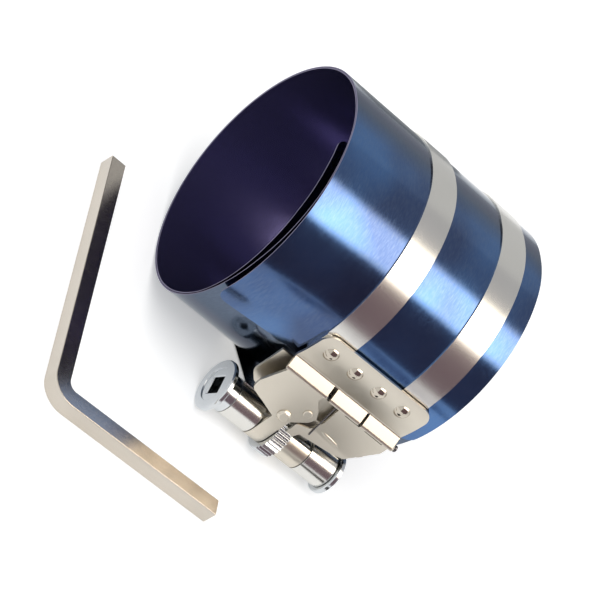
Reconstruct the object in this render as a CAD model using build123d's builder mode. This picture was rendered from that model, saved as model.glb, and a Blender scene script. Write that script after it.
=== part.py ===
"""Piston ring compressor, lying on its side with its square key beside it, in millimetres."""
import os
from math import asin, atan2, cos, degrees, hypot, radians, sin, sqrt

from build123d import *

os.makedirs("parts", exist_ok=True)

# Driving dimensions
sleeve_height = 89.0
sleeve_radius = 46.0          # outside of the outermost sheet layer
sheet = 0.35
layer_gap = 0.15
sheet_corner = 4.0
overlap_end = 119.0           # where the innermost layer ends, in degrees about the sleeve's axis
ramp_start, ramp_end = 139.0, 122.0
band_thickness, band_width = 0.5, 11.5
far_margin = 8.6              # from the far rim to the far band
spindle_stand = 14.8          # from the sleeve's surface out to the spindle's axis
lean = 53.1                   # from straight down to the spindle, about the sleeve's axis
plate = 1.0
head_radius, head_length = 9.5, 2.0
collar_radius, collar_length = 6.75, 4.2
drum_radius, core_radius = 6.75, 5.2
journal_radius, running_gap = 5.6, 0.08
end_radius, end_length, tenon_radius = 8.2, 2.0, 4.5
wheel_radius, wheel_length, wheel_teeth = 9.0, 5.5, 36
knuckle_near_length, knuckle_far_length = 5.9, 9.6
side_gap, band_play = 0.3, 0.2
step_rise, step_back = 23.5, 14.9   # from the spindle's axis to the upper bend, across and towards the sleeve
bracket_gap = 5.0             # between the middles of the cover and the base plate
rivet_radius, rivet_head, rivet_pitch = 1.5, 2.75, 11.1
pin_radius, pin_gap, lever_sheet = 0.75, 0.1, 0.8
wire, coil_radius, coil_turns, coil_length = 0.25, 1.25, 3, 4.3
key_side, key_long, key_short, key_bend = 6.0, 105.0, 71.5, 9.0
key_corner = (-73.5, -92.7)
socket_gap, socket_depth = 0.075, 12.0

# Stations along the axis, counted from the far rim
band_starts = [far_margin]
far_drum = (far_margin - band_play, far_margin + band_width + band_play)
knuckle_far = (far_drum[1] + band_play, far_drum[1] + band_play + knuckle_far_length)
wheel_span = (knuckle_far[1] + side_gap, knuckle_far[1] + side_gap + wheel_length)
knuckle_near = (wheel_span[1] + side_gap, wheel_span[1] + side_gap + knuckle_near_length)
near_drum = (knuckle_near[1] + band_play, knuckle_near[1] + band_width + 3 * band_play)
band_starts.append(near_drum[0] + band_play)
head_start = near_drum[1] + collar_length
end_start = far_drum[0] - end_length
cover_span = (band_starts[0] - 3.6, band_starts[1] + band_width)
rivet_first = band_starts[0] + band_width / 2 - 0.3
rivet_stations = [rivet_first + rivet_pitch * i for i in range(4)]

# Radii and angles about the sleeve's axis
spindle_offset = sleeve_radius + spindle_stand
spindle = (spindle_offset, 0.0)
step_top = (spindle_offset - step_back, step_rise)
tongue_mid = sleeve_radius + plate / 2
flange_mid = tongue_mid + plate
flange_start = degrees(asin(24.46 / flange_mid))
flange_end = flange_start + degrees(14.5 / flange_mid)
rivet_angle = flange_start + degrees(8.3 / flange_mid)
outer_end = flange_start - degrees(2.8 / flange_mid)
floor_level = -(sleeve_radius - sheet - layer_gap + band_thickness)

# Section frame: u towards the spindle, v a quarter turn on, s along the axis from the far rim
u_model = Vector(0, -sin(radians(lean)), -cos(radians(lean)))
v_model = Vector(0, -cos(radians(lean)), sin(radians(lean)))


def section(s):
    return Plane(origin=(sleeve_height / 2 - s, 0, 0), x_dir=u_model, z_dir=(-1, 0, 0))


def place(u, v, s):
    return Vector(sleeve_height / 2 - s, 0, 0) + u_model * u + v_model * v


def polar(radius, angle, centre=(0.0, 0.0)):
    return (centre[0] + radius * cos(radians(angle)), centre[1] + radius * sin(radians(angle)))


# The top plate's plane: w runs from its upper bend to the spindle, h stands up from it
knuckle_mid = journal_radius + running_gap + plate / 2
reach = hypot(spindle_offset - step_top[0], -step_top[1])
slope = degrees(atan2(-step_top[1], spindle_offset - step_top[0])) + degrees(asin(knuckle_mid / reach))
wing_length = sqrt(reach**2 - knuckle_mid**2)


def wing(w, h):
    c, d = cos(radians(slope)), sin(radians(slope))
    return (step_top[0] + w * c - h * d, step_top[1] + w * d + h * c)


def wing_plane(h, w=0.0, tilt=0.0):
    u, v = wing(w, h)
    c, d = cos(radians(slope + tilt)), sin(radians(slope + tilt))
    along = u_model * c + v_model * d
    up = u_model * -d + v_model * c
    return Plane(origin=place(u, v, 0), x_dir=along, z_dir=up * -1)


def side_arc(centre, radius, start, stop, offset, turn):
    """One side of a strip round a circle: turn is 1 for clockwise, -1 for counter-clockwise."""
    r = radius + turn * offset
    steps = max(1, int(abs(stop - start) // 120) + 1)
    knots = [start + (stop - start) * i / steps for i in range(steps + 1)]
    return [
        ("arc", polar(r, a, centre), polar(r, (a + b) / 2, centre), polar(r, b, centre))
        for a, b in zip(knots, knots[1:])
    ]


def belt(nodes, start, stop):
    """Tangent path round circles (centre, signed radius), clockwise where positive; gives its pieces for one offset."""
    headings = []
    for (c1, r1), (c2, r2) in zip(nodes, nodes[1:]):
        gap = hypot(c2[0] - c1[0], c2[1] - c1[1])
        headings.append(degrees(atan2(c2[1] - c1[1], c2[0] - c1[0])) + degrees(asin((r2 - r1) / gap)))
    leave = [h + (90 if r > 0 else -90) for h, (c, r) in zip(headings, nodes)] + [stop]
    meet = [start] + [h + (90 if r > 0 else -90) for h, (c, r) in zip(headings, nodes[1:])]

    def side(offset):
        out = []
        for (centre, r), a, b in zip(nodes, meet, leave):
            turn = 1 if r > 0 else -1
            while turn * (a - b) < 0:
                b -= turn * 360
            while turn * (a - b) > 360:
                b += turn * 360
            if out:
                out.append(("line", out[-1][-1], polar(abs(r) + turn * offset, a, centre)))
            if abs(a - b) > 0.01:
                out += side_arc(centre, abs(r), a, b, offset, turn)
        return out

    return side


def rings(knots, offset):
    """Concentric run: knots are (angle, radius), and a run between two radii is a gentle ramp."""
    out = []
    for (a, r1), (b, r2) in zip(knots, knots[1:]):
        steps = max(1, int(abs(b - a) // 120) + 1)
        for i in range(steps):
            t0, t1 = i / steps, (i + 1) / steps
            p, m, q = (
                polar(r1 + (r2 - r1) * t + offset, a + (b - a) * t) for t in (t0, (t0 + t1) / 2, t1)
            )
            out.append(("arc", p, m, q))
    return out


def draw(pieces):
    for piece in pieces:
        if piece[0] == "line":
            if hypot(piece[1][0] - piece[2][0], piece[1][1] - piece[2][1]) > 1e-4:
                Line(piece[1], piece[2])
        else:
            ThreePointArc(*piece[1:])


def strip(one, other, first, last):
    """A closed strip section between two side paths, extruded from station first to last."""
    with BuildSketch(section(first)) as profile:
        with BuildLine():
            draw(one)
            Line(one[-1][-1], other[-1][-1])
            draw(other)
            Line(other[0][1], one[0][1])
        make_face()
    extrude(profile.sketch, amount=last - first)


def flat_plate(plane, outline, thickness, mode=Mode.ADD):
    """A flat plate on a plane of the bracket: outline holds (w, s, corner radius)."""
    with BuildSketch(plane) as profile:
        with BuildLine():
            Polyline([(w, s) for w, s, r in outline], close=True)
        make_face()
        for w, s, r in outline:
            if r:
                fillet(profile.vertices().sort_by_distance((w, s, 0))[0], r)
    extrude(profile.sketch, amount=thickness / 2, both=True, mode=mode)


def barrel(centre, radius, first, last, mode=Mode.ADD):
    """A round length along the axis, centred on a point of the section."""
    with BuildSketch(section(first)) as profile:
        with Locations(centre):
            Circle(radius)
    extrude(profile.sketch, amount=last - first, mode=mode)


def radial(depth, station, size, length, mode=Mode.ADD):
    """A round length outward at the rivets' angle, starting at a radius of the sleeve."""
    out = u_model * cos(radians(rivet_angle)) + v_model * sin(radians(rivet_angle))
    with BuildSketch(Plane(origin=place(*polar(depth, rivet_angle), station), z_dir=out)) as profile:
        Circle(size)
    extrude(profile.sketch, amount=length, mode=mode)


# Sleeve: one blued sheet rolled two and a quarter turns, each layer a gap from the next
pitch = sheet + layer_gap
layer = [sleeve_radius - sheet / 2 - pitch * k for k in (2, 1, 0)]
sheet_run = [
    (overlap_end, layer[0]), (ramp_start - 360, layer[0]), (ramp_end - 360, layer[1]),
    (ramp_start - 720, layer[1]), (ramp_end - 720, layer[2]), (outer_end - 720, layer[2]),
]
with BuildPart() as sleeve:
    strip(rings(sheet_run, sheet / 2), rings(sheet_run, -sheet / 2), 0, sleeve_height)
    for station in rivet_stations:
        radial(sleeve_radius - sheet - 0.05, station, rivet_radius, 1, Mode.SUBTRACT)
    corners = sleeve.edges().filter_by(lambda e: abs(e.length - sheet) < 1e-3).filter_by(
        lambda e: min(abs(e.center().X - sleeve_height / 2), abs(e.center().X + sleeve_height / 2)) < 1e-3)
    fillet(corners, sheet_corner)
sleeve.part.label = "sleeve"
export_step(sleeve.part, "parts/sleeve.step")

# Bands: folded end under the bracket, round the sleeve, then across to the winding drum
low, high = sleeve_radius + band_thickness / 2, sleeve_radius - pitch + band_thickness / 2
lead_radius = drum_radius + 0.3 + band_thickness / 2
meeting = degrees(asin((high + lead_radius) / spindle_offset))
fold_start, fold_end = rivet_angle - degrees(4.6 / flange_mid), rivet_angle + degrees(5.0 / flange_mid)
for name, first in zip(("band_far", "band_near"), band_starts):
    with BuildPart() as band:
        ring = [(fold_end, low), (ramp_end, low), (ramp_start, high), (360 - 90 + meeting, high)]
        last = meeting + 90
        sides = []
        for offset in (band_thickness / 2, -band_thickness / 2):
            run = rings(ring, offset)
            run.append(("line", run[-1][-1], polar(lead_radius - offset, last, spindle)))
            run += side_arc(spindle, lead_radius, last, last - 12, -offset, 1)
            sides.append(run)
        strip(sides[0], sides[1], first, first + band_width)
        fold = [(fold_start, sleeve_radius + band_thickness), (fold_end, sleeve_radius + band_thickness)]
        strip(rings(fold, band_thickness), rings(fold, -band_thickness), first, first + band_width)
        station = rivet_stations[0] if name == "band_far" else rivet_stations[3]
        radial(sleeve_radius - 0.1, station, rivet_radius, 2, Mode.SUBTRACT)
    band.part.label = name
    export_step(band.part, f"parts/{name}.step")

# Bracket: heights are counted from the cover's middle, w from its upper bend towards the spindle
top = slope + 90
base_h = -bracket_gap
pin_w, pin_h = 1.1, -2.6
curl = pin_radius + pin_gap + lever_sheet / 2
lever_h = pin_h + curl
wheel_edge = wing_length - wheel_radius - 1.9
far_side, near_side = cover_span[0] - 1.6, cover_span[1] + 3.3
ear_stations = (far_side + 0.2, wheel_span[1] - 0.9)
lever_span = (cover_span[0] + 0.2, knuckle_far[1] - 1.8)
lever_tabs = (
    (lever_span[0], lever_span[0] + 2.6), (lever_span[1] - 12.3, lever_span[1] - 9.7), (lever_span[1] - 3.1, lever_span[1]),
)
studs = {"spacer_rivet": (15.7, knuckle_near[0] + 3.4), "spring_anchor": (9.6, knuckle_near[0] - 1.4)}
stud_radius = {"spacer_rivet": 1.4, "spring_anchor": 1.0}


def stud_holes(h):
    """The holes of both studs through a plate at that height."""
    for name, spot in studs.items():
        with BuildSketch(wing_plane(h)) as hole:
            with Locations(spot):
                Circle(stud_radius[name])
        extrude(hole.sketch, amount=plate, both=True, mode=Mode.SUBTRACT)


# Bracket cover: flange on the bands' ends, a step outward, the top plate and the first bearing knuckle
bend_radius = 1.5
bend_in = polar(flange_mid + bend_radius + 0.002, flange_start)
bend_w = 1.0
bend_out = wing(bend_w, -bend_radius)
top_outline = [
    (bend_w - 0.1, cover_span[1] - 1.0, 0), (10.6, cover_span[1] + 1.8, 2.5), (14.6, cover_span[1] + 1.4, 2.5),
    (16.4, knuckle_near[1] + 6.9, 0), (18.6, knuckle_near[1], 0), (wing_length, knuckle_near[1], 0),
    (wing_length, knuckle_near[0], 0), (16.4, knuckle_near[0], 1.0), (12.2, knuckle_near[0] - 4.2, 1.8),
    (9.4, knuckle_near[0] - 5.2, 1.8), (6.6, knuckle_near[0] - 3.2, 1.5), (3.2, knuckle_near[0] + 0.5, 1.0),
    (bend_w - 0.1, knuckle_near[0] + 0.5, 0),
]
slits = ((ear_stations[1] - 0.8, ear_stations[1] + plate), (lever_span[1] - 9.0, lever_span[1] - 7.9))
with BuildPart() as cover:
    path = belt([((0, 0), flange_mid), (bend_in, -bend_radius), (bend_out, bend_radius)], flange_end, top)
    strip(path(plate / 2), path(-plate / 2), *cover_span)
    for station in cover_span:
        corner = cover.edges().sort_by_distance(place(*polar(flange_mid, flange_end), station))[0]
        fillet(corner, 4.5)
    flat_plate(wing_plane(0), top_outline, plate)
    path = belt([(bend_out, bend_radius), (spindle, knuckle_mid)], top, top - 290)
    wraps = [[piece for piece in path(o) if piece[0] == "arc"] for o in (plate / 2, -plate / 2)]
    strip(*wraps, *knuckle_near)
    for first, last in slits:
        outline = [(-3.4, first, 0), (2.4, first, 0), (2.4, last, 0), (-3.4, last, 0)]
        flat_plate(wing_plane(-1.0), outline, 5.0, Mode.SUBTRACT)
    for station in rivet_stations:
        radial(flange_mid - 0.7, station, rivet_radius, 2, Mode.SUBTRACT)
    stud_holes(0)
cover.part.label = "bracket_cover"
export_step(cover.part, "parts/bracket_cover.step")

# Base plate: tongue under the cover, flat floor of the bracket, pin ears and the second bearing knuckle
far_reach = step_top[0] * cos(radians(slope)) + step_top[1] * sin(radians(slope))
far_level = -step_top[0] * sin(radians(slope)) + step_top[1] * cos(radians(slope))
root_bend = 2.0
base_start = sqrt((tongue_mid + root_bend + 0.002)**2 - (far_level + base_h + root_bend)**2) - far_reach
bend_low = wing(base_start, base_h + root_bend)
knuckle_start = 12.0
base_outline = [
    (base_start, far_side, 0), (base_start, near_side, 0), (12.6, near_side, 3.5), (15.6, near_side - 3.3, 3.0),
    (17.4, knuckle_near[1] + 2.4, 1.0), (17.8, knuckle_near[0] + 1.2, 1.0), (wheel_edge, wheel_span[1] - 0.4, 0.8),
    (wheel_edge, knuckle_far[1], 0), (knuckle_start, knuckle_far[1], 0), (knuckle_start, knuckle_far[0], 0),
    (15.0, knuckle_far[0], 0), (15.0, far_side + 3.1, 3.0), (6.0, far_side, 2.0),
]
with BuildPart() as base:
    path = belt([((0, 0), tongue_mid), (bend_low, -root_bend)], flange_end - 1.0, slope - 90)
    strip(path(plate / 2), path(-plate / 2), band_starts[0] + band_width + 0.8, band_starts[1] - 1.0)
    flat_plate(wing_plane(base_h), base_outline, plate)
    lead = wing(knuckle_start, base_h - 3.0)
    path = belt([(lead, 3.0), (spindle, -knuckle_mid)], top, slope + 140)
    strip(path(plate / 2), path(-plate / 2), *knuckle_far)
    for first in ear_stations:
        with BuildSketch(section(first)) as ear:
            with BuildLine():
                Polyline([wing(pin_w - 1.4, base_h), wing(pin_w - 1.4, pin_h), wing(pin_w - 0.7, pin_h + 1.6),
                          wing(pin_w + 0.7, pin_h + 1.6), wing(pin_w + 1.4, pin_h), wing(pin_w + 1.4, base_h)], close=True)
            make_face()
        extrude(ear.sketch, amount=plate)
        barrel(wing(pin_w, pin_h), pin_radius + 0.05, first - 0.5, first + plate + 0.5, Mode.SUBTRACT)
    for station in rivet_stations[1:3]:
        radial(tongue_mid - 0.7, station, rivet_radius, 1.5, Mode.SUBTRACT)
    stud_holes(base_h)
base.part.label = "base_plate"
export_step(base.part, "parts/base_plate.step")

# Four clinched rivets along the flange
flange_top = flange_mid + plate / 2
with BuildPart() as rivets:
    for station in rivet_stations:
        radial(sleeve_radius - sheet, station, rivet_radius, flange_top - sleeve_radius + sheet)
        radial(flange_top, station, rivet_head, 0.8)
    heads = rivets.edges().filter_by(GeomType.CIRCLE).filter_by(lambda e: abs(e.radius - rivet_head) < 1e-3)
    outer = [e for e in heads if (e.center() - Vector(e.center().X, 0, 0)).length > flange_top + 0.4]
    chamfer(outer, 0.5)
    for station in rivet_stations:
        radial(flange_top + 0.2, station, 1.1, 1.5, Mode.SUBTRACT)
rivets.part.label = "clinch_rivets"
export_step(rivets.part, "parts/clinch_rivets.step")

# Rivets between the two plates: the spacer beside the wheel, and the spring's anchor
for name, head, rise in (("spacer_rivet", 2.4, 1.1), ("spring_anchor", 1.6, 0.5)):
    with BuildPart() as stud:
        stack = (
            (base_h - plate / 2, plate / 2, stud_radius[name]), (plate / 2, plate / 2 + rise, head),
            (base_h - plate / 2 - 0.6, base_h - plate / 2, head * 0.85),
        )
        for low_h, high_h, r in stack:
            with BuildSketch(wing_plane(low_h)) as disc:
                with Locations(studs[name]):
                    Circle(r)
            extrude(disc.sketch, amount=low_h - high_h)
        crown = place(*wing(studs[name][0], plate / 2 + rise + head), studs[name][1])
        rim = stud.edges().filter_by(GeomType.CIRCLE).sort_by_distance(crown)[0]
        chamfer(rim, 0.3 * head * rise)
    stud.part.label = name
    export_step(stud.part, f"parts/{name}.step")

# Lever's hinge pin
with BuildPart() as pin:
    barrel(wing(pin_w, pin_h), pin_radius, ear_stations[0] - 0.7, ear_stations[1] + plate + 0.3)
    barrel(wing(pin_w, pin_h), 1.2, ear_stations[0] - 1.3, ear_stations[0] - 0.5)
pin.part.label = "hinge_pin"
export_step(pin.part, "parts/hinge_pin.step")

# Release lever: a sheet pawl, curled round the pin at three tabs, its nose in the wheel's teeth
crease, tilt, nose = 13.5, 6.0, 7.05
nose_span = (wheel_span[0] + 0.1, wheel_span[0] + 3.0)
with BuildPart() as lever:
    flat_plate(wing_plane(lever_h), [
        (2.2, lever_span[1], 1.0), (9.0, lever_span[1] - 0.9, 2.0), (crease, lever_span[1], 0),
        (crease, lever_span[0] + 5.0, 0), (5.0, lever_span[0], 2.0), (2.2, lever_span[0], 0),
    ], lever_sheet)
    flat_plate(wing_plane(lever_h, crease, tilt), [
        (-0.05, lever_span[1], 0), (1.0, lever_span[1] + 0.6, 1.0), (2.6, nose_span[1], 0.8), (nose, nose_span[1], 0),
        (nose, nose_span[0], 0), (5.0, nose_span[0] - 0.9, 0.5), (3.4, lever_span[0] + 10.3, 2.0),
        (2.2, lever_span[0] + 6.4, 1.5), (-0.05, lever_span[0] + 5.0, 0),
    ], lever_sheet)
    for first, last in lever_tabs:
        path = belt([(wing(pin_w, pin_h), curl), (wing(4.0, lever_h - 2.0), 2.0)], top + 285, top)
        strip(path(lever_sheet / 2), path(-lever_sheet / 2), first, last)
lever.part.label = "release_lever"
export_step(lever.part, "parts/release_lever.step")

# Torsion spring round the pin: one leg on the lever's nose, the other on the base plate
start_angle, sweep_angle = 93.4, 173.1 + 360 * coil_turns
start_up = u_model * cos(radians(slope + start_angle)) + v_model * sin(radians(slope + start_angle))
with BuildPart() as spring:
    with BuildLine() as coil:
        Helix(pitch=coil_length / (sweep_angle / 360), height=coil_length, radius=coil_radius)
    seat = Plane(origin=place(*wing(pin_w, pin_h), lever_span[1] + 1.5), x_dir=start_up, z_dir=(-1, 0, 0))
    path = coil.edges()[0].moved(seat.location)
    with BuildSketch(Plane(origin=path @ 0, z_dir=path % 0)) as section_one:
        Circle(wire)
    sweep(section_one.sketch, path=path, is_frenet=True)
    with BuildSketch(Plane(origin=path @ 0, z_dir=(path % 0) * -1)) as leg_one:
        Circle(wire)
    extrude(leg_one.sketch, amount=15.4)
    with BuildSketch(Plane(origin=path @ 1, z_dir=path % 1)) as leg_two:
        Circle(wire)
    extrude(leg_two.sketch, amount=7.0)
spring.part.label = "pawl_spring"
export_step(spring.part, "parts/pawl_spring.step")

# Spindle: head flange with the square socket, collar, two drum cores and the journals
head_face = head_start + head_length
recess = 0.4
socket_side = key_side + 2 * socket_gap
with BuildPart() as shaft:
    barrel(spindle, head_radius, head_start, head_face)
    barrel(spindle, collar_radius, near_drum[1], head_start)
    barrel(spindle, core_radius, near_drum[0], near_drum[1])
    barrel(spindle, journal_radius, far_drum[1], near_drum[0])
    barrel(spindle, core_radius, *far_drum)
    barrel(spindle, tenon_radius, end_start, far_drum[0])
    barrel(spindle, tenon_radius + 0.8, end_start - 0.7, end_start)
    barrel(spindle, head_radius - 3.2, head_face - recess, head_face + 0.5, Mode.SUBTRACT)
    rim = shaft.edges().filter_by(GeomType.CIRCLE).filter_by(lambda e: abs(e.radius - head_radius) < 1e-3)
    chamfer(rim, 0.4)
    with BuildSketch(section(head_face)) as socket:
        with Locations(spindle):
            Rectangle(socket_side, socket_side, rotation=12)
    extrude(socket.sketch, amount=-socket_depth, mode=Mode.SUBTRACT)
    edge_x = sleeve_height / 2 - head_face + recess
    mouth = shaft.edges().filter_by(lambda e: abs(e.length - socket_side) < 0.01 and abs(e.center().X - edge_x) < 0.05)
    chamfer(mouth, 0.4)
shaft.part.label = "spindle"
export_step(shaft.part, "parts/spindle.step")

# Ratchet wheel: each notch is square to the lever's nose
nose_w = crease + nose * cos(radians(tilt)) + 0.4 * sin(radians(tilt)) + 0.06 * (cos(radians(tilt)) + sin(radians(tilt)))
nose_h = lever_h + nose * sin(radians(tilt)) - 0.4 * cos(radians(tilt)) + 0.06 * (sin(radians(tilt)) - cos(radians(tilt)))
root = wing(nose_w, nose_h)
root = (root[0] - spindle[0], root[1])


def flank(start, heading):
    c, d = cos(radians(heading)), sin(radians(heading))
    b = start[0] * c + start[1] * d
    t = -b + sqrt(b * b - (start[0]**2 + start[1]**2 - wheel_radius**2))
    return (start[0] + t * c, start[1] + t * d)


notch = [flank(root, slope + tilt + 180), root, flank(root, slope + tilt + 90)]
with BuildPart() as wheel:
    with BuildSketch(section(wheel_span[0])) as teeth:
        with BuildLine():
            outline = []
            for k in range(wheel_teeth):
                turn = -360 / wheel_teeth * k
                for x, y in notch:
                    outline.append(polar(hypot(x, y), degrees(atan2(y, x)) + turn, spindle))
            Polyline(outline, close=True)
        make_face()
        with Locations(spindle):
            Circle(journal_radius, mode=Mode.SUBTRACT)
    extrude(teeth.sketch, amount=wheel_span[1] - wheel_span[0])
wheel.part.label = "ratchet_wheel"
export_step(wheel.part, "parts/ratchet_wheel.step")

# Turns of band already wound on each drum
for name, first in zip(("winding_far", "winding_near"), band_starts):
    with BuildPart() as winding:
        barrel(spindle, drum_radius, first, first + band_width)
        barrel(spindle, core_radius, first, first + band_width, Mode.SUBTRACT)
    winding.part.label = name
    export_step(winding.part, f"parts/{name}.step")

# End flange on the spindle's riveted end
with BuildPart() as end_flange:
    barrel(spindle, end_radius, end_start, far_drum[0])
    barrel(spindle, tenon_radius, end_start, far_drum[0], Mode.SUBTRACT)
    rim = end_flange.edges().filter_by(GeomType.CIRCLE).filter_by(lambda e: abs(e.radius - end_radius) < 1e-3)
    chamfer(rim, 0.35)
end_flange.part.label = "end_flange"
export_step(end_flange.part, "parts/end_flange.step")

# Key: a square bar bent once
with BuildPart() as key:
    with BuildSketch(Plane.XY.offset(floor_level)) as bar:
        x, y = key_corner
        with BuildLine():
            Polyline([(x, y), (x + key_short, y), (x + key_short, y + key_side), (x + key_side, y + key_side),
                      (x + key_side, y + key_long), (x, y + key_long)], close=True)
        make_face()
        fillet(bar.vertices().sort_by_distance((x, y, 0))[0], key_bend)
        fillet(bar.vertices().sort_by_distance((x + key_side, y + key_side, 0))[0], key_bend - key_side)
    extrude(bar.sketch, amount=key_side)
    fillet(key.faces().filter_by(Axis.Z).edges(), 0.3)
key.part.label = "key"
export_step(key.part, "parts/key.step")
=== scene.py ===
"""Dresses the piston ring compressor and its key: finishes, softened edges, studio and camera.

A name that ends in mm holds millimetres. Lengths are metres once they reach Blender. Angles are degrees.
"""

import logging
import math
from dataclasses import dataclass, field
from enum import Enum

import bpy
from mathutils import Matrix, Vector


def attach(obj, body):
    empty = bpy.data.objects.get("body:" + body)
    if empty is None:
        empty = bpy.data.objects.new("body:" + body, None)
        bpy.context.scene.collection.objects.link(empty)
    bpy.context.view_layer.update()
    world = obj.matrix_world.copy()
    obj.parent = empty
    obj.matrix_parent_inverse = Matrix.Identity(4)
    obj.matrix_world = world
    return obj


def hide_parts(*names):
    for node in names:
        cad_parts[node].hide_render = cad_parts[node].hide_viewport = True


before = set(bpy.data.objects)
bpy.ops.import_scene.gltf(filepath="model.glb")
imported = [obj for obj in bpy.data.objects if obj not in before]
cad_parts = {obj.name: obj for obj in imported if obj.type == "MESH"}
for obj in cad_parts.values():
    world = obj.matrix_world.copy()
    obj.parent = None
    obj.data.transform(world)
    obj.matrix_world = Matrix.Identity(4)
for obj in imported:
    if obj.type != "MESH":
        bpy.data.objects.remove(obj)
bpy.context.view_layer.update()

LOG = logging.getLogger("ring_compressor")
MM = 0.001
# The spindle lies at this angle from straight below the sleeve's axis, towards the front.
LEAN = 53.1
# Edges that bend by less than this are shaded smooth.
SMOOTH_BELOW = 28.0
# Points of a CAD node's mesh this near are merged, and faces that bend by less than this become one.
WELD_MM = 0.002
FLAT_BELOW = 0.5
# Edges of a CAD node that bend by more than this are rounded, in this many steps.
ROUND_ABOVE = 35.0
ROUND_STEPS = 3

Triple = tuple[float, float, float]
Pairs = tuple[tuple[float, float], ...]
Tree = bpy.types.NodeTree
Socket = bpy.types.NodeSocket
Input = Socket | float | tuple[float, ...]


class Body(Enum):
    """The rigid bodies that pieces ride on."""

    TOOL = "compressor"
    SPINDLE = "spindle_set"
    LEVER = "lever"
    KEY = "key_bar"


class Slot(Enum):
    """The record's material slots."""

    BLUED = "blued_steel"
    BAND = "bright_band"
    NICKEL = "nickel_sheet"
    ZINC = "zinc_steel"
    KEY = "key_steel"


def outward(angle: float) -> Vector:
    """Gives the direction that leads away from the sleeve's axis at an angle.

    Args:
        angle: The angle from the spindle's direction, rising over the front of the sleeve.

    Returns:
        The direction, of length 1.
    """
    turned = math.radians(LEAN + angle)
    return Vector((0.0, -math.sin(turned), -math.cos(turned)))


def linear(hex_colour: str) -> tuple[float, float, float, float]:
    """Turns an sRGB hex colour to linear light.

    Args:
        hex_colour: Six hex digits, with or without a leading hash.

    Returns:
        Red, green, blue and an alpha of 1, in linear light.
    """
    digits = hex_colour.lstrip("#")
    values = [int(digits[i:i + 2], 16) / 255 for i in (0, 2, 4)]
    red, green, blue = (v / 12.92 if v <= 0.04045 else ((v + 0.055) / 1.055) ** 2.4 for v in values)
    return red, green, blue, 1.0


def wire(tree: Tree, node: bpy.types.Node, **inputs: Input) -> None:
    """Links or fills a node's inputs.

    Args:
        tree: The node tree that holds the node.
        node: The node.
        **inputs: Inputs by name with underscores for spaces, or i0, i1 for inputs by number. A socket is
            linked, and anything else becomes the input's value.
    """
    for name, value in inputs.items():
        numbered = name[0] == "i" and name[1:].isdigit()
        socket = node.inputs[int(name[1:]) if numbered else name.replace("_", " ")]
        if isinstance(value, Socket):
            tree.links.new(value, socket)
        else:
            socket.default_value = value


def add_node(
    tree: Tree, kind: str, settings: dict[str, str] | None = None, **inputs: Input
) -> bpy.types.Node:
    """Adds a node, sets it up and links or fills its inputs.

    Args:
        tree: The node tree that gets the node.
        kind: The node's type, such as ShaderNodeMapRange.
        settings: Properties of the node itself, by name.
        **inputs: Its inputs, as wire takes them.

    Returns:
        The new node.
    """
    node = tree.nodes.new(kind)
    for name, value in (settings or {}).items():
        setattr(node, name, value)
    wire(tree, node, **inputs)
    return node


def object_place(tree: Tree) -> Socket:
    """Adds the place on the object that a pattern is drawn by, in metres."""
    return add_node(tree, "ShaderNodeTexCoord").outputs["Object"]


def fine_marks(tree: Tree, place: Socket, pitch_mm: Triple) -> Socket:
    """Adds fine noise with a pitch of its own along each axis, which makes it marks that run one way.

    Args:
        tree: The node tree that gets the noise.
        place: The place on the object.
        pitch_mm: The noise's pitch along X, Y and Z.

    Returns:
        The noise, from 0 to 1.
    """
    scales = tuple(1 / (pitch * MM) for pitch in pitch_mm)
    stretched = add_node(tree, "ShaderNodeMapping", Vector=place, Scale=scales).outputs["Vector"]
    return add_node(tree, "ShaderNodeTexNoise", Vector=stretched, Scale=1.0, Detail=3.0).outputs["Fac"]


def broad_patches(tree: Tree, place: Socket, size_mm: float) -> Socket:
    """Adds soft noise in broad patches.

    Args:
        tree: The node tree that gets the noise.
        place: The place on the object.
        size_mm: The patches' size.

    Returns:
        The noise, from 0 to 1.
    """
    scale = 1 / (size_mm * MM)
    return add_node(tree, "ShaderNodeTexNoise", Vector=place, Scale=scale, Detail=2.0).outputs["Fac"]


def mixed(tree: Tree, share: Socket, low: Input, high: Input) -> Socket:
    """Adds a mix of two colours. A Mix node takes them at inputs 6 and 7 and gives a colour at output 2.

    Args:
        tree: The node tree that gets the mix.
        share: How much of the second colour shows, from 0 to 1.
        low: The first colour.
        high: The second colour.

    Returns:
        The mixed colour.
    """
    return add_node(tree, "ShaderNodeMix", {"data_type": "RGBA"}, Factor=share, i6=low, i7=high).outputs[2]


def ranged(tree: Tree, value: Socket, **limits: float) -> Socket:
    """Adds a map from one range to another, each from 0 to 1 where no limit is given.

    Args:
        tree: The node tree that gets the map.
        value: The value that is mapped.
        **limits: From_Min, From_Max, To_Min and To_Max.

    Returns:
        The mapped value.
    """
    return add_node(tree, "ShaderNodeMapRange", Value=value, **limits).outputs["Result"]


def relief(tree: Tree, height: Socket, depth_mm: float) -> Socket:
    """Adds a bump.

    Args:
        tree: The node tree that gets the bump.
        height: The pattern that is raised.
        depth_mm: How high it stands.

    Returns:
        The normal.
    """
    bump = add_node(tree, "ShaderNodeBump", Height=height, Distance=depth_mm * MM, Strength=1.0)
    return bump.outputs["Normal"]


def blank_material(name: str) -> tuple[bpy.types.Material, Tree, bpy.types.Node]:
    """Makes a material with an output and a Principled shader.

    Args:
        name: The material's name.

    Returns:
        The material, its node tree and its shader.
    """
    material = bpy.data.materials.new(name)
    material.use_nodes = True
    tree = material.node_tree
    tree.nodes.clear()
    shader = add_node(tree, "ShaderNodeBsdfPrincipled")
    add_node(tree, "ShaderNodeOutputMaterial", Surface=shader.outputs["BSDF"])
    return material, tree, shader


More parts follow.
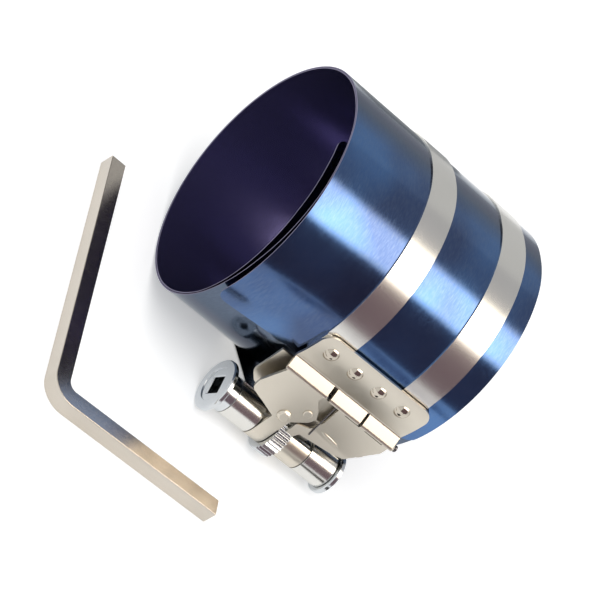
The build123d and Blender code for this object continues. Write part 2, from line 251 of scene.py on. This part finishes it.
@dataclass(frozen=True)
class RolledMetal:
    """A bare or plated metal with fine marks.

    The marks are noise with a pitch along each axis of the object. Where one pitch is small and the others
    are long, they run as lines. They vary the roughness and raise a faint bump, and a broad noise shifts
    the colour between a light and a dark shade.
    """

    name: str
    light: str
    dark: str
    roughness: float
    roughness_spread: float
    mark_pitch_mm: Triple
    mark_depth_mm: float
    patch_mm: float = 18.0

    def make(self) -> bpy.types.Material:
        """Builds the finish.

        Returns:
            The material.
        """
        material, tree, shader = blank_material(self.name)
        place = object_place(tree)
        marks = fine_marks(tree, place, self.mark_pitch_mm)
        patches = broad_patches(tree, place, self.patch_mm)
        smoothest, roughest = self.roughness - self.roughness_spread, self.roughness + self.roughness_spread
        wire(
            tree, shader, Metallic=1.0,
            Base_Color=mixed(tree, patches, linear(self.dark), linear(self.light)),
            Roughness=ranged(tree, marks, To_Min=smoothest, To_Max=roughest),
            Normal=relief(tree, marks, self.mark_depth_mm),
        )
        return material


# Bright cold-rolled strip: neutral grey, with fine lines along its length, which is round the sleeve.
BRIGHT_STRIP = RolledMetal(
    "bright_rolled_strip", "#dad9d5", "#cfcec9", roughness=0.21, roughness_spread=0.03,
    mark_pitch_mm=(0.22, 14.0, 14.0), mark_depth_mm=0.00025,
)
# Nickel-plated pressed sheet: a warm pale grey, satin, with a plating haze that blurs what it reflects.
NICKEL_SHEET = RolledMetal(
    "nickel_plated_sheet", "#d3cdc1", "#c8c1b4", roughness=0.33, roughness_spread=0.05,
    mark_pitch_mm=(2.5, 2.5, 2.5), mark_depth_mm=0.002,
)
# Zinc-plated turned steel: a cold bright grey, with turning marks round the axis that draw its gloss out.
TURNED_ZINC = RolledMetal(
    "zinc_plated_turned_steel", "#d3d6d8", "#bfc4c8", roughness=0.17, roughness_spread=0.05,
    mark_pitch_mm=(0.3, 8.0, 8.0), mark_depth_mm=0.003,
)
# Nickel-plated drawn bar: as warm as the sheet, glossier, and uneven with small pits.
NICKEL_BAR = RolledMetal(
    "nickel_plated_drawn_bar", "#cbc4ba", "#bab3a8", roughness=0.2, roughness_spread=0.05,
    mark_pitch_mm=(1.2, 1.2, 1.2), mark_depth_mm=0.006,
)
# Nickel-plated rivet heads: the punch left them smoother than the sheet, so they show crisp glints.
RIVET_NICKEL = RolledMetal(
    "punched_nickel_heads", "#c6bfb2", "#aaa296", roughness=0.13, roughness_spread=0.03,
    mark_pitch_mm=(1.2, 1.2, 1.2), mark_depth_mm=0.002,
)
# Oiled steel wire and rod: a dark neutral grey, smooth, with a dull oily gloss.
OILED_STEEL = RolledMetal(
    "oiled_steel", "#6c6a6d", "#4d4b4e", roughness=0.3, roughness_spread=0.05,
    mark_pitch_mm=(0.8, 0.8, 0.8), mark_depth_mm=0.001,
)
# The sheet's slit edge: bare steel that the heat turned a pale violet grey, a little rough from the shears.
SLIT_EDGE = RolledMetal(
    "slit_steel_edge", "#7d7994", "#5d5972", roughness=0.3, roughness_spread=0.06,
    mark_pitch_mm=(1.5, 1.5, 1.5), mark_depth_mm=0.002,
)


@dataclass(frozen=True)
class BluedSteel:
    """Spring steel heated until its oxide film is blue, rolled smooth and wiped with oil.

    The film's thickness varies over the sheet, so its blue shifts between navy and azure, and the turns that
    lie under the outer one are coloured a greyer blue. Rolling left fine marks along the sheet's run, which
    break the film's colour where light strikes it, and the oil lies on it as a thin clear coat. The marks are
    drawn coarser than real ones, so that they show.
    """

    name: str = "blued_spring_steel"
    metallic: float = 1.0
    edge_tint: str = "#8796a8"
    coat: float = 0.9
    coat_roughness: float = 0.12
    navy: str = "#25416f"
    azure: str = "#3a679e"
    film_stops: tuple[float, float] = (0.38, 0.64)
    film_mm: float = 38.0
    pale: str = "#7f8f9f"
    mottle: float = 0.14
    under: str = "#3f4f66"
    under_radii_mm: tuple[float, float] = (45.55, 45.95)
    roughness: float = 0.15
    roughness_spread: float = 0.03
    mark_pitch_mm: Triple = (0.35, 2.2, 2.2)
    mark_depth_mm: float = 0.0003
    # The share of the marks' noise over which the mottle and the roughness go from least to most.
    mottle_range: tuple[float, float] = (0.4, 0.7)
    rough_range: tuple[float, float] = (0.3, 0.7)

    def make(self) -> bpy.types.Material:
        """Builds the finish.

        Returns:
            The material.
        """
        material, tree, shader = blank_material(self.name)
        place = object_place(tree)
        blue = add_node(tree, "ShaderNodeValToRGB", Fac=broad_patches(tree, place, self.film_mm))
        stops = zip(blue.color_ramp.elements, self.film_stops, (self.navy, self.azure))
        for element, position, colour in stops:
            element.position, element.color = position, linear(colour)
        across = add_node(tree, "ShaderNodeMapping", Vector=place, Scale=(0.0, 1.0, 1.0)).outputs["Vector"]
        radius = add_node(tree, "ShaderNodeVectorMath", {"operation": "LENGTH"}, i0=across).outputs["Value"]
        low, high = (r * MM for r in self.under_radii_mm)
        outer = ranged(tree, radius, From_Min=low, From_Max=high)
        turn = mixed(tree, outer, linear(self.under), blue.outputs["Color"])
        marks = fine_marks(tree, place, self.mark_pitch_mm)
        low, high = self.mottle_range
        amount = ranged(tree, marks, From_Min=low, From_Max=high, To_Max=self.mottle)
        low, high = self.rough_range
        smoothest, roughest = self.roughness - self.roughness_spread, self.roughness + self.roughness_spread
        wire(
            tree, shader, Metallic=self.metallic, Specular_Tint=linear(self.edge_tint), Coat_Weight=self.coat,
            Coat_Roughness=self.coat_roughness,
            Base_Color=mixed(tree, amount, turn, linear(self.pale)),
            Roughness=ranged(tree, marks, From_Min=low, From_Max=high, To_Min=smoothest, To_Max=roughest),
            Normal=relief(tree, marks, self.mark_depth_mm),
        )
        return material


# The sheet's outer face, an even blue, and its inner face, coloured darker and more violet as painted shade:
# the dark reflections inside the bore are painted into its colour.
OUTER_FILM = BluedSteel()
INNER_FACE_PAINTED_SHADE = BluedSteel(
    "violet_steel_painted_shade", metallic=0.8, coat=0.3, navy="#545079", azure="#46609c", pale="#5e6280",
    under="#545079", roughness=0.22,
)


def enlist(piece: bpy.types.Object, body: Body, node: str | None = None) -> None:
    """Says which body a piece rides on and the CAD node that it stands in for.

    Args:
        piece: The piece.
        body: The body.
        node: The node that it replaces, if there is one.
    """
    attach(piece, body.value)
    if node:
        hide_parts(node)


def softened(
    node: str, body: Body, material: bpy.types.Material, bevel_mm: float, slot: Slot
) -> bpy.types.Object:
    """Stands a welded, smooth-shaded and edge-bevelled copy in for a node.

    A CAD node's mesh is loose triangles, so the copy's points are merged first, and triangles that make one
    flat face become one face.

    Args:
        node: The node that the copy replaces.
        body: The body that it rides on.
        material: Its finish.
        bevel_mm: Width of the rounding on its sharp edges, or 0 for none.
        slot: The record's material slot. It is not used.

    Returns:
        The new piece.
    """
    piece = bpy.data.objects.new(f"{node}_dressed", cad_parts[node].data.copy())
    bpy.context.scene.collection.objects.link(piece)
    bpy.ops.object.select_all(action="DESELECT")
    piece.select_set(True)
    bpy.context.view_layer.objects.active = piece
    bpy.ops.object.mode_set(mode="EDIT")
    bpy.ops.mesh.select_all(action="SELECT")
    bpy.ops.mesh.remove_doubles(threshold=WELD_MM * MM)
    bpy.ops.mesh.dissolve_limited(angle_limit=math.radians(FLAT_BELOW))
    bpy.ops.object.mode_set(mode="OBJECT")
    if bevel_mm:
        rounding = piece.modifiers.new("edge_rounding", "BEVEL")
        rounding.width, rounding.segments = bevel_mm * MM, ROUND_STEPS
        rounding.limit_method, rounding.angle_limit = "ANGLE", math.radians(ROUND_ABOVE)
        bpy.ops.object.modifier_apply(modifier=rounding.name)
    bpy.ops.object.shade_smooth_by_angle(angle=math.radians(SMOOTH_BELOW))
    flat = piece.modifiers.new("flat_faces", "WEIGHTED_NORMAL")
    flat.keep_sharp = True
    bpy.ops.object.modifier_apply(modifier=flat.name)
    piece.data.materials.clear()
    piece.data.materials.append(material)
    enlist(piece, body, node)
    return piece


@dataclass
class RolledSleeve:
    """The blued sheet, rolled two and a quarter turns, and the two bright bands round it.

    An angle along the run falls from the free end inside to the free end outside, over more than two turns.
    A station is the distance from the far rim, which is the one beside the bands. Twice along its run the
    sheet climbs over its own end by one pitch. Beyond the bands the roll is slack: its inner end springs
    inward, the second turn leaves the outer one, and the outer end stands out.
    """

    outside: BluedSteel = OUTER_FILM
    # The inner face's darker, more violet colour is painted shade that stands in for the bore's dark
    # reflections.
    inside: BluedSteel = INNER_FACE_PAINTED_SHADE
    edge: RolledMetal = SLIT_EDGE
    strip: RolledMetal = BRIGHT_STRIP
    outer_mm: float = 46.0
    height_mm: float = 89.0
    thickness_mm: float = 0.35
    pitch_mm: float = 0.5
    # How often the sheet climbs, and the two angles between which it does, one turn after the other.
    climbs: int = 2
    ramp: tuple[float, float] = (139.0, 122.0)
    inner_end: float = 119.0
    outer_end: float = 27.62 - 720.0
    step: float = 2.0
    corner_mm: float = 4.0
    # Shares of the corner at which its points stand, closest where it is steepest.
    corner_steps: tuple[float, ...] = (0.0, 0.03, 0.12, 0.27, 0.47, 0.72, 1.0)
    corner_margin_mm: float = 0.3
    corner_match_mm: float = 0.005
    banded_mm: float = 56.0
    slack_rows: int = 6
    # How far each turn springs inward at the near rim: angles round the sleeve, and mm.
    inner_slack: Pairs = (
        (-20.0, 0.0), (15.0, 0.8), (31.0, 2.0), (44.0, 3.2),
        (60.0, 4.6), (78.0, 5.6), (100.0, 5.5), (125.0, 4.4),
    )
    second_slack: Pairs = ((-20.0, 0.0), (10.0, 0.5), (32.0, 1.1), (50.0, 1.4), (67.0, 0.8), (92.0, 0.0))
    outer_slack: Pairs = ((20.0, -2.0), (45.0, -1.6), (70.0, -0.8), (92.0, -0.2), (115.0, 0.0))
    band_edge_mm: float = 0.12

    def run_radius(self, turned: float) -> float:
        """Gives the radius of the sheet's middle along its run.

        Args:
            turned: The angle along the run.

        Returns:
            The radius in mm.
        """
        begin, stop = self.ramp
        climbed = 0.0
        for turn in range(1, self.climbs + 1):
            share = (begin - 360 * turn - turned) / (begin - stop)
            climbed += min(1.0, max(0.0, share))
        return self.outer_mm - self.thickness_mm / 2 + (climbed - self.climbs) * self.pitch_mm

    def spot(self, turned: float, station: float) -> Vector:
        """Gives a point of the sheet's middle.

        Args:
            turned: The angle along the run.
            station: The distance from the far rim in mm.

        Returns:
            The point in metres.
        """
        return (Vector((self.height_mm / 2 - station, 0, 0)) + outward(turned) * self.run_radius(turned)) * MM

    def slack(self, point: Vector) -> float:
        """Gives how far a point of the sheet springs inward, or outward where it is less than 0.

        Args:
            point: The point in metres.

        Returns:
            The distance in mm.
        """
        station = self.height_mm / 2 - point.x / MM
        free = (station - self.banded_mm) / (self.height_mm - self.banded_mm)
        if free <= 0:
            return 0.0
        angle = math.degrees(math.atan2(-point.y, -point.z)) - LEAN
        radius = math.hypot(point.y, point.z) / MM
        # How many turns lie over the point, told apart halfway between two turns.
        turns_under = (self.outer_mm - self.thickness_mm / 2 - radius) / self.pitch_mm
        table = self.outer_slack
        if turns_under > 0.5:
            table = self.inner_slack if turns_under > 1.5 else self.second_slack
        most = 0.0
        for (a, low), (b, high) in zip(table, table[1:]):
            if a <= angle <= b:
                most = low + (high - low) * (angle - a) / (b - a)
        return most * free * free * (3 - 2 * free)

    def roll_sheet(self) -> bpy.types.Object:
        """Models the sheet: its section point by point, drawn out to its height, cornered and slackened.

        Returns:
            The sheet, finished but for its place in the record.
        """
        bpy.ops.object.select_all(action="DESELECT")
        bpy.ops.mesh.primitive_plane_add(size=MM)
        sheet = bpy.context.active_object
        sheet.name = "rolled_sheet"
        steps = [math.degrees(share * self.corner_mm / self.outer_mm) for share in self.corner_steps]
        first, last = self.inner_end - steps[-1], self.outer_end + steps[-1]
        count = round((first - last) / self.step)
        middle = [first + (last - first) * i / count for i in range(1, count)]
        turns = [self.inner_end - s for s in steps] + middle + [self.outer_end + s for s in reversed(steps)]
        bpy.ops.object.mode_set(mode="EDIT")
        bpy.ops.mesh.select_all(action="SELECT")
        bpy.ops.mesh.merge(type="CENTER")
        points = [self.spot(turned, 0.0) for turned in turns]
        bpy.ops.transform.translate(value=points[0])
        for near, far in zip(points, points[1:]):
            bpy.ops.mesh.extrude_region_move(TRANSFORM_OT_translate={"value": far - near})
        bpy.ops.mesh.select_all(action="SELECT")
        end_row = self.corner_mm + self.corner_margin_mm
        free = self.height_mm - end_row - self.banded_mm
        rows = [end_row, self.banded_mm - end_row] + [free / self.slack_rows] * self.slack_rows + [end_row]
        for row in rows:
            bpy.ops.mesh.extrude_region_move(TRANSFORM_OT_translate={"value": (-row * MM, 0, 0)})
        bpy.ops.mesh.select_mode(type="VERT")
        bpy.ops.mesh.select_all(action="DESELECT")
        self.round_corners(sheet)
        bpy.ops.mesh.select_all(action="SELECT")
        bpy.ops.mesh.normals_make_consistent(inside=False)
        bpy.ops.object.mode_set(mode="OBJECT")
        self.slacken(sheet)
        return sheet

    def round_corners(self, sheet: bpy.types.Object) -> None:
        """Rounds the sheet's four corners: pulls the rims' points near each free end in along the axis.

        Args:
            sheet: The sheet, in edit mode with nothing selected. It is left in edit mode.
        """
        for share in self.corner_steps[:-1]:
            pull = self.corner_mm * (1 - math.sqrt(1 - (1 - share) ** 2)) * MM
            turned = math.degrees(share * self.corner_mm / self.outer_mm)
            for end in (self.inner_end - turned, self.outer_end + turned):
                for station, sense in ((0.0, -1), (self.height_mm, 1)):
                    corner = self.spot(end, station)
                    bpy.ops.object.mode_set(mode="OBJECT")
                    for vertex in sheet.data.vertices:
                        vertex.select = (vertex.co - corner).length < self.corner_match_mm * MM
                    bpy.ops.object.mode_set(mode="EDIT")
                    bpy.ops.transform.translate(value=(sense * pull, 0, 0))

    def slacken(self, sheet: bpy.types.Object) -> None:
        """Lets the free turns spring, then gives the sheet its thickness and its three finishes.

        Args:
            sheet: The sheet, in object mode.
        """
        faces = sheet.data.polygons
        facing = sum(face.normal.dot(Vector((0, face.center.y, face.center.z))) for face in faces)
        slacks = [self.slack(vertex.co) for vertex in sheet.data.vertices]
        most = max(abs(slack) for slack in slacks)
        for name, sense in (("inward", 1), ("outward", -1)):
            group = sheet.vertex_groups.new(name=name)
            for index, slack in enumerate(slacks):
                group.add([index], max(0.0, sense * slack) / most, "REPLACE")
            spring = sheet.modifiers.new(name, "DISPLACE")
            spring.direction, spring.mid_level, spring.vertex_group = "NORMAL", 0.0, name
            spring.strength = -sense * math.copysign(most * MM, facing)
        wall = sheet.modifiers.new("thickness", "SOLIDIFY")
        wall.thickness, wall.offset, wall.use_even_offset = self.thickness_mm * MM, 0.0, True
        wall.material_offset, wall.material_offset_rim = 1, 2
        sides = (self.outside, self.inside) if facing > 0 else (self.inside, self.outside)
        for finish in (*sides, self.edge):
            sheet.data.materials.append(finish.make())
        bpy.context.view_layer.objects.active = sheet
        for modifier in ("inward", "outward", "thickness"):
            bpy.ops.object.modifier_apply(modifier=modifier)
        sheet.vertex_groups.clear()
        bpy.ops.object.shade_smooth_by_angle(angle=math.radians(SMOOTH_BELOW))

    def dress(self) -> list[bpy.types.Object]:
        """Builds the sheet and dresses the bands.

        Returns:
            The finished pieces.
        """
        sheet = self.roll_sheet()
        enlist(sheet, Body.TOOL, "sleeve")
        bright = self.strip.make()
        rides = (
            ("band_far", Body.TOOL), ("band_near", Body.TOOL),
            ("winding_far", Body.SPINDLE), ("winding_near", Body.SPINDLE),
        )
        bands = [softened(node, body, bright, self.band_edge_mm, Slot.BAND) for node, body in rides]
        return [sheet] + bands


@dataclass
class Rivet:
    """One domed rivet of the flange, modelled once and copied along it."""

    finish: RolledMetal = RIVET_NICKEL
    head_mm: float = 2.75
    rise_mm: float = 1.35
    shank_mm: float = 1.5
    seat_mm: float = 48.0
    inner_mm: float = 45.65
    angle: float = 41.0
    stations_mm: tuple[float, ...] = (30.45, 19.35, 8.25, -2.85)
    segments: int = 40
    rings: int = 48

    def model(self) -> bpy.types.Object:
        """Models the four rivets: a sphere's cap, its flat side inset and drawn out to the shank.

        Returns:
            The rivets as one piece, with their finish.
        """
        out = outward(self.angle)
        bulge = (self.head_mm ** 2 + self.rise_mm ** 2) / (2 * self.rise_mm)
        first = Vector((self.stations_mm[0] * MM, 0, 0))
        seat = first + out * self.seat_mm * MM
        bpy.ops.object.select_all(action="DESELECT")
        bpy.ops.mesh.primitive_uv_sphere_add(
            segments=self.segments, ring_count=self.rings, radius=bulge * MM,
            location=first + out * (self.seat_mm + self.rise_mm - bulge) * MM,
            rotation=out.to_track_quat("Z", "Y").to_euler(),
        )
        rivet = bpy.context.active_object
        rivet.name = "domed_rivets"
        bpy.ops.object.transform_apply(location=True, rotation=True, scale=True)
        bpy.ops.object.mode_set(mode="EDIT")
        bpy.ops.mesh.select_all(action="SELECT")
        bpy.ops.mesh.bisect(plane_co=seat, plane_no=out, clear_inner=True, use_fill=True)
        bpy.ops.mesh.inset(thickness=(self.head_mm - self.shank_mm) * MM)
        bpy.ops.mesh.extrude_region_move(
            TRANSFORM_OT_translate={"value": -out * (self.seat_mm - self.inner_mm) * MM}
        )
        bpy.ops.mesh.select_all(action="SELECT")
        for near, far in zip(self.stations_mm, self.stations_mm[1:]):
            bpy.ops.mesh.duplicate_move(TRANSFORM_OT_translate={"value": ((far - near) * MM, 0, 0)})
        bpy.ops.mesh.select_all(action="SELECT")
        bpy.ops.mesh.normals_make_consistent(inside=False)
        bpy.ops.object.mode_set(mode="OBJECT")
        bpy.ops.object.shade_smooth_by_angle(angle=math.radians(SMOOTH_BELOW))
        rivet.data.materials.append(self.finish.make())
        return rivet


@dataclass
class Crease:
    """The slanting crease that stiffens the lever's sheet, a shallow bead that runs out at both ends."""

    start_mm: Triple = (19.0, -51.68, -21.26)
    stop_mm: Triple = (28.6, -51.84, -22.38)
    sheet_normal: Triple = (0.0, -0.989, 0.145)
    width_mm: float = 1.5
    rise_mm: float = 0.3
    sunk_mm: float = 0.3
    segments: int = 32
    rings: int = 24
    smooth_below: float = 50.0

    def press(self) -> bpy.types.Object:
        """Models the crease: a ball drawn out to its length and cut off inside the sheet.

        Returns:
            The crease, without its finish.
        """
        start, stop = Vector(self.start_mm) * MM, Vector(self.stop_mm) * MM
        along = (stop - start).normalized()
        across = Vector(self.sheet_normal).normalized().cross(along).normalized()
        up = along.cross(across)
        seat = (start + stop) / 2 - up * self.sunk_mm * MM
        bpy.ops.object.select_all(action="DESELECT")
        bpy.ops.mesh.primitive_uv_sphere_add(segments=self.segments, ring_count=self.rings, radius=MM)
        bead = bpy.context.active_object
        bead.name = "lever_crease"
        bpy.ops.object.mode_set(mode="EDIT")
        bpy.ops.mesh.select_all(action="SELECT")
        half = (stop - start).length / (2 * MM)
        bpy.ops.transform.resize(value=(half, self.width_mm / 2, self.rise_mm + self.sunk_mm))
        bpy.ops.object.mode_set(mode="OBJECT")
        bead.matrix_world = Matrix.Translation(seat) @ Matrix((along, across, up)).transposed().to_4x4()
        bpy.ops.object.transform_apply(location=True, rotation=True, scale=True)
        bpy.ops.object.mode_set(mode="EDIT")
        bpy.ops.mesh.select_all(action="SELECT")
        bpy.ops.mesh.bisect(plane_co=seat, plane_no=up, clear_inner=True, use_fill=True)
        bpy.ops.object.mode_set(mode="OBJECT")
        bpy.ops.object.shade_smooth_by_angle(angle=math.radians(self.smooth_below))
        return bead


@dataclass
class Bracket:
    """The two pressed plates, their rivets, the lever with its crease, its pin and its spring."""

    sheet: RolledMetal = NICKEL_SHEET
    oiled: RolledMetal = OILED_STEEL
    rivet: Rivet = field(default_factory=Rivet)
    crease: Crease = field(default_factory=Crease)
    sheet_edge_mm: float = 0.28
    stud_edge_mm: float = 0.3
    pin_edge_mm: float = 0.08

    def dress(self) -> list[bpy.types.Object]:
        """Models the domed rivets and the lever's crease, and dresses the bracket's other pieces.

        Returns:
            The finished pieces.
        """
        nickel, steel = self.sheet.make(), self.oiled.make()
        rivets, bead = self.rivet.model(), self.crease.press()
        bead.data.materials.append(nickel)
        enlist(rivets, Body.TOOL, "clinch_rivets")
        enlist(bead, Body.LEVER)
        rows = (
            ("bracket_cover", Body.TOOL, nickel, self.sheet_edge_mm, Slot.NICKEL),
            ("base_plate", Body.TOOL, nickel, self.sheet_edge_mm, Slot.NICKEL),
            ("spacer_rivet", Body.TOOL, nickel, self.stud_edge_mm, Slot.NICKEL),
            ("spring_anchor", Body.TOOL, nickel, self.stud_edge_mm, Slot.NICKEL),
            ("hinge_pin", Body.TOOL, steel, self.pin_edge_mm, Slot.ZINC),
            ("pawl_spring", Body.TOOL, steel, 0.0, Slot.ZINC),
            ("release_lever", Body.LEVER, nickel, self.sheet_edge_mm, Slot.NICKEL),
        )
        return [rivets, bead] + [softened(*row) for row in rows]


@dataclass
class WindingSpindle:
    """The spindle with its head, its ratchet wheel and its end flange."""

    steel: RolledMetal = TURNED_ZINC
    edge_mm: float = 0.15

    def dress(self) -> list[bpy.types.Object]:
        """Dresses the spindle's pieces.

        Returns:
            The dressed pieces.
        """
        zinc = self.steel.make()
        return [
            softened(node, Body.SPINDLE, zinc, self.edge_mm, Slot.ZINC)
            for node in ("spindle", "ratchet_wheel", "end_flange")
        ]


@dataclass
class SquareKey:
    """The bent square key, whose solid already has rounded edges."""

    bar: RolledMetal = NICKEL_BAR

    def dress(self) -> list[bpy.types.Object]:
        """Dresses the key and gives it alone in a list."""
        return [softened("key", Body.KEY, self.bar.make(), 0.0, Slot.KEY)]


@dataclass(frozen=True)
class Panel:
    """A flat panel that stands or lies round the object and shows only in gloss."""

    name: str
    centre_mm: Triple
    size_mm: tuple[float, float]
    turn: Triple
    glow: Triple
    soft_edge: float = 0.0
    edge_glow: float = 0.12

    @classmethod
    def raised(
        cls, name: str, elevation: tuple[float, float], across_mm: tuple[float, float], distance_mm: float,
        glow: Triple, soft_edge: float = 0.0,
    ) -> "Panel":
        """Gives a panel that spans some degrees of elevation round the X axis.

        Args:
            name: The panel's name.
            elevation: Its lower and upper edge, 0 at the front, 90 overhead and 180 behind.
            across_mm: Its two ends along X.
            distance_mm: Its distance from the X axis.
            glow: Its linear brightness.
            soft_edge: The share of its height over which each long edge fades.

        Returns:
            The panel.
        """
        middle = sum(elevation) / 2
        height = 2 * distance_mm * math.tan(math.radians((elevation[1] - elevation[0]) / 2))
        y, z = -distance_mm * math.cos(math.radians(middle)), distance_mm * math.sin(math.radians(middle))
        size = (across_mm[1] - across_mm[0], height)
        return cls(name, (sum(across_mm) / 2, y, z), size, (90 - middle, 0, 0), glow, soft_edge)

    def stand(self) -> bpy.types.Object:
        """Stands the panel in the studio.

        Returns:
            The panel, hidden from camera, diffuse, shadow and transmission rays.
        """
        bpy.ops.mesh.primitive_plane_add(size=1.0)
        panel = bpy.context.active_object
        panel.name = self.name
        panel.scale = (self.size_mm[0] * MM, self.size_mm[1] * MM, 1.0)
        panel.rotation_euler = tuple(math.radians(a) for a in self.turn)
        panel.location = tuple(c * MM for c in self.centre_mm)
        material = bpy.data.materials.new(self.name)
        material.use_nodes = True
        tree = material.node_tree
        tree.nodes.clear()
        glow = add_node(tree, "ShaderNodeEmission", Color=(*self.glow, 1.0), Strength=1.0)
        add_node(tree, "ShaderNodeOutputMaterial", Surface=glow.outputs["Emission"])
        if self.soft_edge:
            height = add_node(tree, "ShaderNodeSeparateXYZ", Vector=object_place(tree)).outputs["Y"]
            off = add_node(tree, "ShaderNodeMath", {"operation": "ABSOLUTE"}, i0=height).outputs[0]
            fade = add_node(
                tree, "ShaderNodeMapRange", {"interpolation_type": "SMOOTHSTEP"}, Value=off,
                From_Min=0.5 - self.soft_edge, From_Max=0.5, To_Min=1.0, To_Max=self.edge_glow,
            )
            wire(tree, glow, Strength=fade.outputs["Result"])
        panel.data.materials.append(material)
        panel.visible_camera = panel.visible_diffuse = panel.visible_shadow = False
        panel.visible_transmission = False
        return panel


# What the polished faces reflect. From the front edge of the floor over the top to the back: the dark band
# along the sleeve's front, the bright streak above it, and the dimmer tones on its top and back.
RAISED_PANELS = (
    Panel.raised("dark_front_panel", (-2, 46), (-100, 900), 600, (0.19, 0.13, 0.15)),
    Panel.raised("softbox", (44, 83), (-100, 900), 640, (6.2, 5.6, 4.9), 0.24),
    Panel.raised("dim_top_panel", (82, 116), (-100, 900), 660, (0.52, 0.52, 0.54)),
    Panel.raised("dim_back_panel", (115, 184), (186, 900), 640, (0.66, 0.66, 0.66)),
)
# One dark panel upright behind the object, and three that lie on the floor.
OTHER_PANELS = (
    Panel("dark_back_panel", (-85, 520, 330), (540, 420), (90, 0, 0), (0.1, 0.09, 0.1)),
    Panel("dark_floor_strip", (264, -480, -45.9), (486, 44), (0, 0, -63.5), (0.34, 0.3, 0.36)),
    Panel("dim_floor_strip", (188, 418, -45.9), (632, 60), (0, 0, 63.2), (0.36, 0.37, 0.38)),
    Panel("dark_floor_patch", (50, -99, -45.9), (46, 34), (0, 0, -60), (0.03, 0.025, 0.02)),
)


@dataclass
class Studio:
    """The white floor and world, the panels, one soft lamp and the camera."""

    floor_mm: float = -46.0
    floor_gap_mm: float = 0.05
    floor_side_m: float = 6.0
    floor_white: float = 0.9
    floor_roughness: float = 0.9
    floor_glow: float = 0.38
    world_light: float = 0.62
    panels: tuple[Panel, ...] = RAISED_PANELS + OTHER_PANELS
    lamp_m: Triple = (-0.25, -0.35, 0.95)
    lamp_facing: Triple = (-0.25, -0.35, 1.0)
    lamp_side_m: float = 0.9
    lamp_watts: float = 5.0
    camera_mm: Triple = (-453.84, -687.71, 548.53)
    aim_mm: Triple = (-3.1, -12.0, -17.1)
    roll: float = -60.1
    sensor_mm: float = 36.0
    lens_per_width: float = 5.0
    clip_m: tuple[float, float] = (0.05, 10.0)

    def add_lamp(self) -> None:
        """Hangs a large soft lamp that shades the object and its shadow a little."""
        bpy.ops.object.light_add(type="AREA", location=self.lamp_m)
        lamp = bpy.context.active_object
        lamp.name = "soft_lamp"
        lamp.data.shape = "RECTANGLE"
        lamp.data.size = lamp.data.size_y = self.lamp_side_m
        lamp.data.energy = self.lamp_watts
        lamp.rotation_euler = Vector(self.lamp_facing).to_track_quat("Z", "Y").to_euler()
        lamp.visible_glossy = False

    def add_floor(self) -> None:
        """Lays the floor, with a little glow of its own so that it shows white and keeps the shadow."""
        height = (self.floor_mm - self.floor_gap_mm) * MM
        bpy.ops.mesh.primitive_plane_add(size=self.floor_side_m, location=(0, 0, height))
        floor = bpy.context.active_object
        floor.name = "floor"
        material, tree, shader = blank_material("white_floor")
        wire(
            tree, shader, Base_Color=(*[self.floor_white] * 3, 1), Roughness=self.floor_roughness,
            Specular_IOR_Level=0.0, Emission_Color=(1, 1, 1, 1),
            Emission_Strength=ranged(tree, self.background_rays(tree), To_Max=self.floor_glow),
        )
        floor.data.materials.append(material)

    @staticmethod
    def background_rays(tree: Tree) -> Socket:
        """Tells the rays that see the background from those that light the object.

        Args:
            tree: The node tree that asks.

        Returns:
            A socket that is 1 for camera, glossy and transmission rays.
        """
        path = add_node(tree, "ShaderNodeLightPath").outputs
        seen = path["Is Camera Ray"]
        for ray in ("Is Glossy Ray", "Is Transmission Ray"):
            larger = add_node(tree, "ShaderNodeMath", {"operation": "MAXIMUM"}, i0=seen, i1=path[ray])
            seen = larger.outputs[0]
        return seen

    def add_world(self) -> None:
        """Lights the room evenly and shows white behind everything."""
        world = bpy.data.worlds.new("studio")
        bpy.context.scene.world = world
        world.use_nodes = True
        tree = world.node_tree
        tree.nodes.clear()
        strength = ranged(tree, self.background_rays(tree), To_Min=self.world_light)
        glow = add_node(tree, "ShaderNodeBackground", Color=(1, 1, 1, 1), Strength=strength)
        add_node(tree, "ShaderNodeOutputWorld", Surface=glow.outputs["Background"])

    def add_camera(self) -> None:
        """Places the camera where the photograph was taken from, rolled as the photograph is."""
        camera = bpy.data.objects.new("photo_camera", bpy.data.cameras.new("photo_camera"))
        bpy.context.scene.collection.objects.link(camera)
        place, aim = Vector(self.camera_mm) * MM, Vector(self.aim_mm) * MM
        forward = (aim - place).normalized()
        level_up = (Vector((0, 0, 1)) - forward * forward.z).normalized()
        level_right = forward.cross(level_up)
        angle = math.radians(self.roll)
        up = level_up * math.cos(angle) + level_right * math.sin(angle)
        turn = Matrix((forward.cross(up), up, -forward)).transposed()
        camera.matrix_world = Matrix.Translation(place) @ turn.to_4x4()
        camera.data.sensor_width = self.sensor_mm
        camera.data.lens = self.sensor_mm * self.lens_per_width
        camera.data.clip_start, camera.data.clip_end = self.clip_m
        bpy.context.scene.camera = camera

    def build(self) -> None:
        """Builds the whole studio."""
        self.add_floor()
        self.add_world()
        for panel in self.panels:
            panel.stand()
        self.add_lamp()
        self.add_camera()
        bpy.context.scene.view_settings.view_transform = "Standard"


def main() -> None:
    """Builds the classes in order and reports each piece."""
    logging.basicConfig(level=logging.INFO, format="%(message)s")
    Studio().build()
    for part in (RolledSleeve(), Bracket(), WindingSpindle(), SquareKey()):
        for piece in part.dress():
            LOG.info("%s: %d faces", piece.name, len(piece.data.polygons))


if __name__ == "__main__":
    main()
